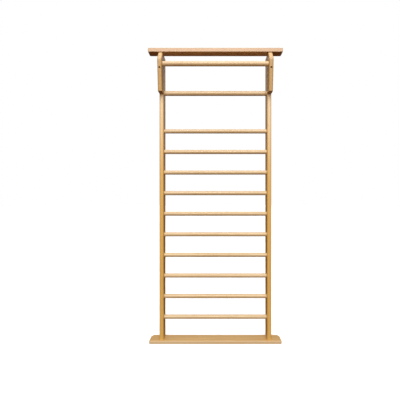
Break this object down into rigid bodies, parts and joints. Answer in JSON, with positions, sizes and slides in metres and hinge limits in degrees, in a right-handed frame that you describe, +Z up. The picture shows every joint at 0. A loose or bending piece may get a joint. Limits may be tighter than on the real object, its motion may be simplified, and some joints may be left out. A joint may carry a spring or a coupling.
{
  "type": "wall bars",
  "caption": "Freestanding wooden wall bars with even rungs between two posts, foot and head boards, and a pull-up bar held forward by two shaped brackets",
  "frame": {"origin": "on the floor, at the middle of the foot board's underside", "axes": "+Z up along the posts, +X to the right along the rungs as seen from the front, and the front, with the pull-up bar, faces -Y"},
  "size_m": [0.994, 0.1805, 2.2],
  "materials": {
    "lacquered_wood": "clear satin lacquer over pale straight-grained hardwood",
    "dowel_wood": "bare beech",
    "zinc_steel": "bright zinc plate"
  },
  "bodies": {
    "root": {"base_board": "lacquered_wood", "top_board": "lacquered_wood", "left_post": "lacquered_wood", "right_post": "lacquered_wood", "left_bar_bracket": "lacquered_wood", "right_bar_bracket": "lacquered_wood", "pull_up_bar": "lacquered_wood", "upper_rung": "lacquered_wood", "rung_01": "lacquered_wood", "rung_02": "lacquered_wood", "rung_03": "lacquered_wood", "rung_04": "lacquered_wood", "rung_05": "lacquered_wood", "rung_06": "lacquered_wood", "rung_07": "lacquered_wood", "rung_08": "lacquered_wood", "rung_09": "lacquered_wood", "rung_10": "lacquered_wood", "bracket_dowels": "dowel_wood", "base_screws": "zinc_steel", "top_screws": "zinc_steel", "left_rung_screws": "zinc_steel", "right_rung_screws": "zinc_steel", "bar_screws": "zinc_steel", "bracket_bolts": "zinc_steel"}
  },
  "joints": []
}
